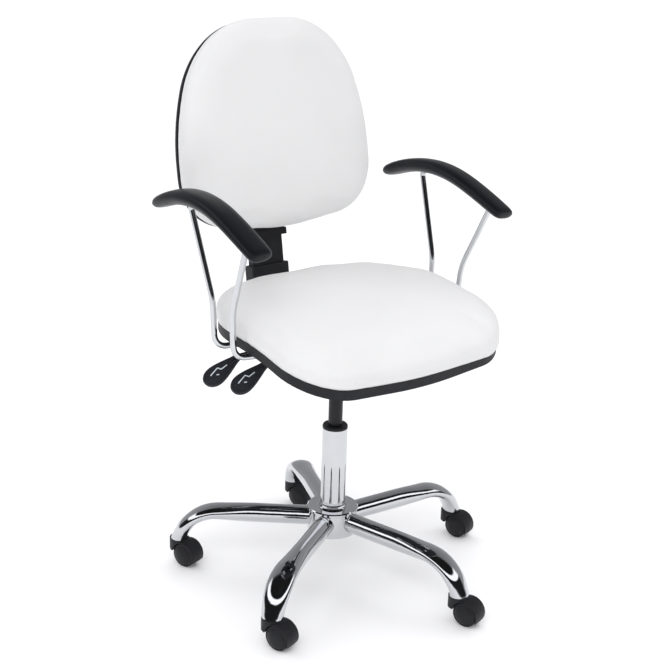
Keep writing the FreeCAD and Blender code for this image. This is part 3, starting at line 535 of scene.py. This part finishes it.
# ---- backrest, built in the upright's frame: x across, y up the upright, z forward
LEAN = math.radians(9.5)
BACK_FRAME = Matrix((
    (1.0, 0.0, 0.0, 0.0),
    (0.0, math.sin(LEAN), -math.cos(LEAN), 0.238),
    (0.0, math.cos(LEAN), math.sin(LEAN), 0.580),
    (0.0, 0.0, 0.0, 1.0),
))
BACK_CENTRE, BACK_RIM, BACK_MIDDLE = 0.311, 0.054, -0.02
BACK_FACE_INSET, BACK_FACE_DEPTH = 0.085, 0.0465
SHELL_FACE_INSET = 0.100
# the rings of the pad's side are raised towards its top
BACK_SIDE = slice(2, 12)
TOP_GROWTH, TOP_START, TOP_LENGTH = 0.002, 0.06, 0.10
LUMBAR_PLACE, LUMBAR_HEIGHT, LUMBAR_WIDTH, LUMBAR_DEPTH = -0.10, 0.085, 0.17, 0.007
LUMBAR_BASE, LUMBAR_FADE = 0.012, 0.02
HALF_BACK = [
    (0.094, 0.177, 0.153), (0.1815, 0.1035, 0.185), (0.218, -0.022, 0.440), (0.218, -0.199, 0.100),
]
BACK_CORNERS = HALF_BACK + [(0.0, -0.223, 0.5)] + [(-x, y, r) for x, y, r in reversed(HALF_BACK)]


def back_ring(outline, inset, depth, share=1.0):
    """One ring at a depth in front of the rim plane, drawn in to a share about the back's middle."""
    ring = []
    for p in offset_outline(outline, inset):
        y = BACK_MIDDLE + (p.y - BACK_MIDDLE) * share + BACK_CENTRE
        ring.append(BACK_FRAME @ Vector((p.x * share, y, BACK_RIM + depth)))
    return ring


def make_back_cushion():
    """A full, smooth pad on the shell's rim, a little prouder across the small of the back."""
    outline = rounded_outline(BACK_CORNERS, 160)
    profile = (
        (28.0, -2.0), (6.0, -2.0), (2.0, 0.6), (-1.5, 4.0), (-4.0, 10.0), (-6.0, 18.0), (-6.5, 25.0),
        (-4.5, 31.5), (0.5, 37.5), (8.0, 41.5), (20.0, 44.0), (38.0, 45.5), (60.0, 46.0), (85.0, 46.5),
    )
    rings = [back_ring(outline, inset * MM, depth * MM) for inset, depth in profile]
    for share in FACE_SHARES:
        rings.append(back_ring(outline, BACK_FACE_INSET, BACK_FACE_DEPTH, share))
    upward = BACK_FRAME.to_3x3() @ Vector((0.0, 1.0, 0.0))
    for ring in rings[BACK_SIDE]:
        for point, place in zip(ring, outline):
            point += upward * (TOP_GROWTH * clamped((place.y - TOP_START) / TOP_LENGTH))
    piece = new_piece("back_upholstery", *skin(rings), "white_vinyl", "backrest")
    remesh(piece)
    into = BACK_FRAME.inverted()
    forward = BACK_FRAME.to_3x3() @ Vector((0.0, 0.0, 1.0))

    def hold(point):
        return held((into @ point).z - BACK_RIM)

    inflate(piece, hold, cap=0.004, creases=0.12)
    for vertex in piece.data.vertices:
        local = into @ vertex.co
        depth = local.z - BACK_RIM
        if depth > LUMBAR_BASE:
            up = local.y - BACK_CENTRE - LUMBAR_PLACE
            swell = math.exp(-(up / LUMBAR_HEIGHT) ** 2) * math.exp(-(local.x / LUMBAR_WIDTH) ** 2)
            rise = min((depth - LUMBAR_BASE) / LUMBAR_FADE, 1.0)
            vertex.co += forward * (LUMBAR_DEPTH * swell * rise)
    subdivide(piece)
    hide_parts("back_cushion")


make_back_cushion()


def make_back_shell():
    """The smooth dished back, with a rolled lip at its rim and a step round the cover's opening."""
    outline = rounded_outline(BACK_CORNERS, 128)
    profile = (
        (20.0, 9.5), (3.2, 9.0), (3.2, 0.0), (1.0, 0.0), (0.2, 0.6), (0.0, 1.6), (0.0, 6.5),
        (0.8, 8.2), (2.6, 9.6), (6.0, 11.0), (12.0, 13.2), (20.0, 15.8), (32.0, 19.0),
        (48.0, 22.4), (66.0, 25.4), (84.0, 27.8), (100.0, 29.4),
    )
    rings = [back_ring(outline, inset * MM, -depth * MM) for inset, depth in profile]
    for share, depth in zip(FACE_SHARES, (30.4, 31.3, 31.8, 32.0)):
        rings.append(back_ring(outline, SHELL_FACE_INSET, -depth * MM, share))
    piece = new_piece("back_moulding", *skin(rings), "black_plastic", "backrest")
    subdivide(piece)
    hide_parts("back_shell")


make_back_shell()


# ---- arm pads
PAD_STATIONS = (
    (190.0, 760.5, 0.60, 0.50), (184.0, 762.5, 0.86, 0.80), (170.0, 768.0, 0.98, 0.98),
    (148.0, 776.0, 1.0, 1.05), (118.0, 784.5, 1.0, 1.07), (85.0, 790.0, 1.0, 1.08),
    (50.0, 791.5, 1.0, 1.08), (15.0, 788.5, 1.0, 1.06), (-20.0, 781.0, 1.0, 1.03),
    (-55.0, 769.5, 1.0, 1.0), (-90.0, 756.0, 1.0, 0.96), (-120.0, 743.5, 0.98, 0.92),
    (-138.0, 736.0, 0.93, 0.86), (-145.0, 733.0, 0.80, 0.66),
)
PAD_WIDTH, PAD_THICKNESS, PAD_TIP = 50.0, 26.0, math.radians(4.5)
# the pad's middle line: its distance from the chair's middle at a place along it, and its slant
PAD_X, PAD_PLACE, PAD_SLANT = 281.0, 30.0, 0.024
PAD_END_SHARE, PAD_END_REACH = 0.5, 0.0022
# across and up, as shares of the half width and half height, round one side from top to bottom
PAD_SECTION = (
    (0.0, 1.0), (0.28, 0.985), (0.52, 0.93), (0.72, 0.80), (0.86, 0.60), (0.95, 0.34), (0.99, 0.10),
    (1.0, -0.06), (0.985, -0.20), (0.93, -0.40), (0.84, -0.62), (0.70, -0.80), (0.50, -0.92),
    (0.26, -0.98), (0.0, -1.0),
)


def make_arm_pad(side, name, node):
    """One arched pad, rounded over at both tips; side is 1 at +X and -1 at -X."""
    across = Vector((math.cos(PAD_TIP), 0.0, -math.sin(PAD_TIP)))
    rows = smooth_steps(PAD_STATIONS, 3)
    section = list(PAD_SECTION) + [(-x, y) for x, y in PAD_SECTION[-2:0:-1]]
    rings = []
    for index, (y, z, wide, thick) in enumerate(rows):
        before, after = rows[max(index - 1, 0)], rows[min(index + 1, len(rows) - 1)]
        slope = Vector((0.0, after[0] - before[0], after[1] - before[1])).normalized()
        upward = slope.cross(across)
        if upward.z < 0.0:
            upward = -upward
        centre = Vector((PAD_X - (y - PAD_PLACE) * PAD_SLANT, y, z))
        half_width, half_height = PAD_WIDTH / 2.0 * wide, PAD_THICKNESS / 2.0 * thick
        ring = []
        for share_across, share_up in section:
            point = centre + across * (share_across * half_width) + upward * (share_up * half_height)
            ring.append(Vector((side * point.x, point.y, point.z)) * MM)
        rings.append(ring)
    ends = []
    for ring, inner in ((rings[0], rings[1]), (rings[-1], rings[-2])):
        middle = sum(ring, Vector()) / len(ring)
        direction = (ring[0] - inner[0]).normalized()
        ends.append([middle + (p - middle) * PAD_END_SHARE + direction * PAD_END_REACH for p in ring])
    rings = [ends[0]] + rings + [ends[1]]
    piece = new_piece(name, *skin(rings), "pad_skin", "seat")
    subdivide(piece)
    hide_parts(node)


make_arm_pad(1, "left_pad", "arm_pad_left")
make_arm_pad(-1, "right_pad", "arm_pad_right")


# ---- lever paddles, built with x from the neck to the tip, y across and z out of the face
PADDLE_LENGTH, PADDLE_MIDDLE = 0.086, 0.050
PADDLE_DROOP, PADDLE_ROLL = math.radians(28.0), math.radians(33.0)
LEVER_HEIGHT, NECK_GAP = 0.494, 0.002
PADDLE_OUTLINE = (
    (0.0, 0.0), (0.0, 4.0), (1.0, 6.2), (6.0, 7.2), (14.0, 8.9), (24.0, 11.8), (36.0, 15.2),
    (48.0, 18.0), (58.0, 19.3), (67.0, 19.0), (75.0, 16.4), (81.0, 12.0), (84.8, 6.4), (86.0, 0.0),
)
# share drawn in towards the middle, and height above the paddle's middle plane
PADDLE_RINGS = (
    (0.45, -5.2), (0.20, -4.9), (0.08, -4.0), (0.02, -2.6), (0.0, -0.8), (0.0, 1.2), (0.02, 2.8),
    (0.06, 3.9), (0.105, 4.2), (0.15, 3.9), (0.175, 3.2), (0.21, 3.0), (0.32, 3.4), (0.5, 4.1),
    (0.7, 4.6), (0.88, 4.8),
)
# body, and the place of the paddle's neck across and along the chair
LEVERS = (("height_lever", -0.187, -0.030), ("tilt_lever", -0.207, 0.030))
MARK_HALF_WIDTH, MARK_STEP = 0.0010, 0.0015
MARK_RISE, MARK_DEPTH = 0.00022, 0.0006
# zig-zag and dash: distance from the tip and distance across, in millimetres
MARKS = (((18.0, -4.5), (38.0, -8.0), (41.0, -1.0), (55.0, -0.5)), ((27.0, 1.5), (31.0, 4.5)))


def paddle_frame(x, y):
    """The paddle's own axes, standing at its neck."""
    along = Vector((-math.cos(PADDLE_DROOP), 0.0, -math.sin(PADDLE_DROOP)))
    level = Vector((0.0, -1.0, 0.0))
    normal = level.cross(along).normalized()
    across = level * math.cos(PADDLE_ROLL) + normal * math.sin(PADDLE_ROLL)
    out = along.cross(across).normalized()
    if out.z < 0.0:
        across, out = -across, -out
    neck = Vector((x, y, LEVER_HEIGHT)) + along * NECK_GAP
    return Matrix.Translation(neck) @ Matrix((along, across, out)).transposed().to_4x4()


def paddle_rings(frame_matrix):
    side = smooth_steps(PADDLE_OUTLINE, 3)
    outline = side + [(x, -y) for x, y in side[-2:0:-1]]
    rings = []
    for drawn_in, height in PADDLE_RINGS:
        keep = 1.0 - drawn_in
        ring = []
        for x, y in outline:
            place = PADDLE_MIDDLE + (x * MM - PADDLE_MIDDLE) * keep
            ring.append(frame_matrix @ Vector((place, y * MM * keep, height * MM)))
        rings.append(ring)
    return rings


def raised_line(points, surface, matrix):
    """A flat ribbon along a line, laid just proud of a curved face."""
    into, above = matrix.inverted(), 0.03
    inward = -(matrix.to_3x3() @ Vector((0.0, 0.0, 1.0)))
    rows = []
    for index, point in enumerate(points):
        before, after = points[max(index - 1, 0)], points[min(index + 1, len(points) - 1)]
        side = Vector((before.y - after.y, after.x - before.x)).normalized() * MARK_HALF_WIDTH
        row = []
        for sign in (-1, 1):
            start = matrix @ Vector((point.x + sign * side.x, point.y + sign * side.y, above))
            local = into @ surface.ray_cast(start, inward)[0]
            row += [matrix @ (local + Vector((0.0, 0.0, lift))) for lift in (MARK_RISE, -MARK_DEPTH)]
        rows.append([row[0], row[2], row[3], row[1]])
    vertices = [corner for row in rows for corner in row]
    faces = [(3, 2, 1, 0), tuple(len(vertices) - 4 + k for k in range(4))]
    for row in range(len(rows) - 1):
        for k in range(4):
            j = (k + 1) % 4
            faces.append((row * 4 + k, row * 4 + j, row * 4 + 4 + j, row * 4 + 4 + k))
    return vertices, faces


def fine_line(corners):
    """Closely spaced points along a line through the corners."""
    points = []
    for first, last in zip(corners, corners[1:]):
        count = max(int((last - first).length / MARK_STEP), 1)
        points += [first.lerp(last, i / count) for i in range(count)]
    return points + [corners[-1]]


def make_lever(body, x, y):
    """The teardrop paddle on one lever, with its printed mark."""
    matrix = paddle_frame(x, y)
    piece = new_piece(body + "_handle", *skin(paddle_rings(matrix)), "lever_plastic", body)
    subdivide(piece)
    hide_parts(body + "_paddle")
    mesh = piece.data
    surface = BVHTree.FromPolygons(
        [v.co for v in mesh.vertices], [tuple(p.vertices) for p in mesh.polygons]
    )
    for number, line in enumerate(MARKS, start=1):
        corners = [Vector((PADDLE_LENGTH - away * MM, across * MM)) for away, across in line]
        ribbon = raised_line(fine_line(corners), surface, matrix)
        mark = new_piece(f"{body}_mark_{number}", *ribbon, "lever_plastic", body, MARK_PAINT)
        mark.data.polygons.foreach_set("use_smooth", [False] * len(mark.data.polygons))


MARK_PAINT = printed_mark()

for lever in LEVERS:
    make_lever(*lever)


# ---- castor wheels
WHEEL_SPOKES = 72
# distance from the axle and distance from the castor's middle plane, in millimetres
WHEEL_PROFILE = (
    (3.2, 5.1), (9.0, 5.1), (9.6, 4.8), (22.4, 4.8), (24.2, 5.2), (24.9, 6.3), (25.0, 8.0), (25.0, 12.4),
    (24.8, 13.8), (24.1, 15.0), (23.0, 15.8), (21.9, 16.1), (21.2, 15.8), (20.6, 15.7), (20.0, 16.1),
    (19.0, 17.2), (17.0, 18.5), (14.0, 19.9), (10.5, 21.0), (7.0, 21.6), (3.5, 21.9), (1.2, 22.0),
)


def make_wheel(joint):
    """A domed twin wheel with a rounded tread and a fine channel inside its rim."""
    body = joint["child"]
    number, letter = body[-2], body[-1]
    outward = Vector(joint["axis"]).normalized() * (-1.0 if letter == "a" else 1.0)
    middle = Vector(joint["pos_m"])
    upward = Vector((0.0, 0.0, 1.0))
    level = outward.cross(upward)
    rings = []
    for radius, reach in WHEEL_PROFILE:
        ring = []
        for i in range(WHEEL_SPOKES):
            turn = 2.0 * math.pi * i / WHEEL_SPOKES
            spoke = upward * math.cos(turn) + level * math.sin(turn)
            ring.append(middle + outward * (reach * MM) + spoke * (radius * MM))
        rings.append(ring)
    piece = new_piece(f"{body}_disc", *skin(rings), "castor_plastic", body)
    subdivide(piece)
    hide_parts(f"castor_{number}_wheel_{letter}")


for joint in frame["record"]["behaviour"]["joints"]:
    if joint["name"].startswith("wheel_"):
        make_wheel(joint)


# ---- stage, light and camera
SKY_STRENGTH, SKY_BLUE = 1.50, 1.02
# how far up a direction looks, from 0 at the horizon to 1 overhead, and brightness
SOFT_SKY = ((0.0, 0.34), (1.0, 1.0))
MIRROR_BACKDROP = ((0.0, 0.46), (1.0, 0.20), (0.5, 0.36))
MIRROR_ROOM = (
    (0.0, 0.36), (1.0, 0.012), (0.035, 0.32), (0.07, 0.02), (0.40, 0.015), (0.45, 1.65),
    (0.63, 1.65), (0.68, 0.012),
)
# the backdrop begins where x plus y of a direction passes from the first value to the second
BACKDROP_EDGE = (0.22, 0.46)
FLOOR_REACH, FLOOR_CORNERS = 26.0, 96
CHAIR_MIDDLE = (0.0, 0.0, 0.5)
# name, place, target, size and power in watts
LAMPS = (
    ("key", (-2.2, -1.9, 2.9), CHAIR_MIDDLE, (2.0, 2.0), 34.0),
    ("fill", (2.8, -1.4, 2.2), CHAIR_MIDDLE, (1.6, 2.2), 7.0),
    ("rim", (0.6, 2.6, 2.8), (0.0, 0.0, 0.6), (2.4, 1.4), 12.0),
)


def make_floor():
    turns = [2 * math.pi * i / FLOOR_CORNERS for i in range(FLOOR_CORNERS)]
    ring = [(FLOOR_REACH * math.cos(turn), FLOOR_REACH * math.sin(turn), 0.0) for turn in turns]
    mesh = bpy.data.meshes.new("floor")
    mesh.from_pydata(ring, [], [tuple(range(FLOOR_CORNERS))])
    floor = bpy.data.objects.new("floor", mesh)
    bpy.context.scene.collection.objects.link(floor)
    s = Shader("pale_floor", (0.93, 0.93, 0.93), 0.8)
    s.mottle(s.noise(1.5, 2.0), 0.99, 1.01)
    mesh.materials.append(s.material)


def area_light(name, place, target, size, power):
    light = bpy.data.lights.new(name, "AREA")
    light.shape = "RECTANGLE"
    light.size, light.size_y = size
    light.energy = power
    lamp = bpy.data.objects.new(name, light)
    lamp.location = place
    lamp.visible_glossy = False
    lamp.rotation_euler = (Vector(target) - Vector(place)).to_track_quat("-Z", "Y").to_euler()
    bpy.context.scene.collection.objects.link(lamp)


def make_sky():
    """White paper behind, soft light all round, and a contrasty studio seen only in reflections."""
    world = bpy.data.worlds.new("studio")
    bpy.context.scene.world = world
    world.use_nodes = True
    tree = world.node_tree
    nodes, link = tree.nodes, tree.links.new
    soft, mirrored = nodes["Background"], nodes.new("ShaderNodeBackground")
    place, split = nodes.new("ShaderNodeTexCoord"), nodes.new("ShaderNodeSeparateXYZ")
    link(place.outputs["Generated"], split.inputs[0])

    def by_height(marks):
        ramp = nodes.new("ShaderNodeValToRGB")
        link(split.outputs["Z"], ramp.inputs[0])
        stops = ramp.color_ramp.elements
        for index, (position, shade) in enumerate(marks):
            stop = stops[index] if index < len(stops) else stops.new(position)
            stop.position = position
            stop.color = (shade, shade, shade * SKY_BLUE, 1.0)
        return ramp.outputs["Color"]

    link(by_height(SOFT_SKY), soft.inputs["Color"])
    behind, choose = nodes.new("ShaderNodeMath"), nodes.new("ShaderNodeMapRange")
    behind.operation = "ADD"
    link(split.outputs["X"], behind.inputs[0])
    link(split.outputs["Y"], behind.inputs[1])
    link(behind.outputs[0], choose.inputs["Value"])
    for end, value in zip(("From Min", "From Max"), BACKDROP_EDGE):
        choose.inputs[end].default_value = value
    sides = nodes.new("ShaderNodeMix")
    sides.data_type = "RGBA"
    link(choose.outputs["Result"], sides.inputs["Factor"])
    link(by_height(MIRROR_ROOM), sides.inputs["A"])
    link(by_height(MIRROR_BACKDROP), sides.inputs["B"])
    link(sides.outputs["Result"], mirrored.inputs["Color"])
    soft.inputs["Strength"].default_value = SKY_STRENGTH
    rays, mix = nodes.new("ShaderNodeLightPath"), nodes.new("ShaderNodeMixShader")
    link(rays.outputs["Is Glossy Ray"], mix.inputs[0])
    link(soft.outputs[0], mix.inputs[1])
    link(mirrored.outputs[0], mix.inputs[2])
    paper, shown = nodes.new("ShaderNodeBackground"), nodes.new("ShaderNodeMixShader")
    paper.inputs["Color"].default_value = (1.0, 1.0, 1.0, 1.0)
    link(rays.outputs["Is Camera Ray"], shown.inputs[0])
    link(mix.outputs[0], shown.inputs[1])
    link(paper.outputs[0], shown.inputs[2])
    link(shown.outputs[0], nodes["World Output"].inputs[0])


def make_camera():
    """A camera in front of the sitter's right side, above the seat, tilted slightly."""
    azimuth, elevation, roll = -0.68125, 0.3284, 0.03087
    target = Vector((-0.00754, 0.0, 0.50431))
    distance, lens = 2.53101, 70.80
    back = Vector((
        math.sin(azimuth) * math.cos(elevation), -math.cos(azimuth) * math.cos(elevation),
        math.sin(elevation),
    ))
    level = Vector((math.cos(azimuth), math.sin(azimuth), 0.0))
    upright = back.cross(level)
    right = level * math.cos(roll) + upright * math.sin(roll)
    up = upright * math.cos(roll) - level * math.sin(roll)
    data = bpy.data.cameras.new("camera")
    data.lens, data.sensor_width = lens, 36.0
    camera = bpy.data.objects.new("camera", data)
    turn = Matrix((right, up, back)).transposed().to_4x4()
    camera.matrix_world = Matrix.Translation(target + back * distance) @ turn
    bpy.context.scene.collection.objects.link(camera)
    bpy.context.scene.camera = camera


make_floor()
make_sky()
for lamp in LAMPS:
    area_light(*lamp)
make_camera()
bpy.context.scene.view_settings.view_transform = "Standard"
